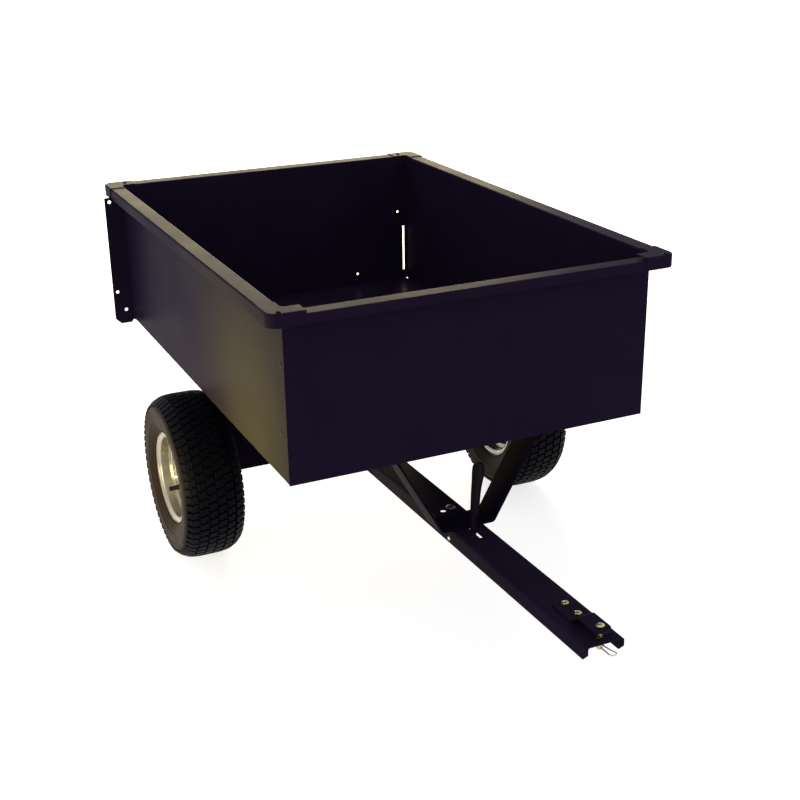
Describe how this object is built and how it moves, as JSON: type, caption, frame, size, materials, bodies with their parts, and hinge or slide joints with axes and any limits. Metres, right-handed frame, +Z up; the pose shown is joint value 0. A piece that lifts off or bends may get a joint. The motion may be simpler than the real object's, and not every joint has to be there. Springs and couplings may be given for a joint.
{
  "type": "garden tractor trailer",
  "caption": "Two-wheeled sheet-steel tipping trailer for a garden tractor, with a channel drawbar, drop-pin hitch, tilt latch and lift-out tailgate.",
  "frame": {"origin": "on the ground below the middle of the whole trailer's bounding box", "axes": "+X to the right seen from the front, +Y from the hitch to the tailgate, +Z up"},
  "size_m": [1.039, 1.7983, 0.8098],
  "materials": {
    "satin_black_steel": "satin",
    "cream_rim_steel": "gloss",
    "yellow_zinc_steel": "satin",
    "bright_steel": "satin",
    "tyre_rubber": "matte",
    "valve_rubber": "matte"
  },
  "bodies": {
    "drawbar": {"drawbar": "satin_black_steel", "axle": "bright_steel", "hitch_strap": "satin_black_steel", "latch_pivot_pin": "bright_steel", "stop_bolt": "bright_steel", "stop_nut": "yellow_zinc_steel", "rear_hitch_bolt": "yellow_zinc_steel", "front_hitch_bolt": "yellow_zinc_steel", "rear_hitch_nut": "yellow_zinc_steel", "front_hitch_nut": "yellow_zinc_steel", "left_axle_spacer": "yellow_zinc_steel", "left_axle_washer": "yellow_zinc_steel", "left_axle_nut": "yellow_zinc_steel", "right_axle_spacer": "yellow_zinc_steel", "right_axle_washer": "yellow_zinc_steel", "right_axle_nut": "yellow_zinc_steel"},
    "bed": {"front_panel": "satin_black_steel", "floor_panel": "satin_black_steel", "tailgate_sill": "satin_black_steel", "bed_rest_bracket": "satin_black_steel", "left_side_panel": "satin_black_steel", "left_axle_bracket": "satin_black_steel", "front_left_corner_cap": "satin_black_steel", "front_left_cap_screw": "satin_black_steel", "left_upper_corner_rivet": "bright_steel", "left_lower_corner_rivet": "bright_steel", "left_rest_bolt": "bright_steel", "left_rest_nut": "bright_steel", "left_bracket_inner_bolt": "bright_steel", "left_bracket_inner_nut": "bright_steel", "left_bracket_outer_bolt": "bright_steel", "left_bracket_outer_nut": "bright_steel", "right_side_panel": "satin_black_steel", "right_axle_bracket": "satin_black_steel", "front_right_corner_cap": "satin_black_steel", "front_right_cap_screw": "satin_black_steel", "right_upper_corner_rivet": "bright_steel", "right_lower_corner_rivet": "bright_steel", "right_rest_bolt": "bright_steel", "right_rest_nut": "bright_steel", "right_bracket_inner_bolt": "bright_steel", "right_bracket_inner_nut": "bright_steel", "right_bracket_outer_bolt": "bright_steel", "right_bracket_outer_nut": "bright_steel"},
    "tailgate": {"tailgate": "satin_black_steel", "rear_left_corner_cap": "satin_black_steel", "rear_left_cap_screw": "satin_black_steel", "rear_right_corner_cap": "satin_black_steel", "rear_right_cap_screw": "satin_black_steel"},
    "left_wheel": {"left_tyre": "tyre_rubber", "left_rim": "cream_rim_steel", "left_hub": "cream_rim_steel", "left_valve_stem": "valve_rubber"},
    "right_wheel": {"right_tyre": "tyre_rubber", "right_rim": "cream_rim_steel", "right_hub": "cream_rim_steel", "right_valve_stem": "valve_rubber"},
    "latch_lever": {"latch_lever": "satin_black_steel"},
    "hitch_pin": {"hitch_pin": "yellow_zinc_steel"},
    "hairpin_clip": {"hairpin_clip": "bright_steel"}
  },
  "joints": [
    {"name": "bed_tilt", "type": "hinge", "parent": "drawbar", "child": "bed", "pos_m": [0, 0.26685, 0.2032], "axis": [-1, 0, 0], "range_deg": [0, 38]},
    {"name": "tailgate_lift", "type": "slide", "parent": "bed", "child": "tailgate", "axis": [0, 0, 1], "range_m": [0, 0.4]},
    {"name": "left_wheel_spin", "type": "hinge", "parent": "drawbar", "child": "left_wheel", "pos_m": [-0.446, 0.26685, 0.2032], "axis": [1, 0, 0], "continuous": true},
    {"name": "right_wheel_spin", "type": "hinge", "parent": "drawbar", "child": "right_wheel", "pos_m": [0.446, 0.26685, 0.2032], "axis": [1, 0, 0], "continuous": true},
    {"name": "latch_swing", "type": "hinge", "parent": "drawbar", "child": "latch_lever", "pos_m": [0.003, -0.32523, 0.20519], "axis": [1, 0, 0], "range_deg": [0, 25], "stiffness_Nm_per_rad": 0.8, "springref_deg": -17.19},
    {"name": "hitch_pin_lift", "type": "slide", "parent": "drawbar", "child": "hitch_pin", "axis": [0, 0.0206, 0.9998], "range_m": [0, 0.0145]},
    {"name": "clip_pull", "type": "slide", "parent": "hitch_pin", "child": "hairpin_clip", "axis": [0, -0.9998, 0.0206], "range_m": [0, 0.045]}
  ]
}
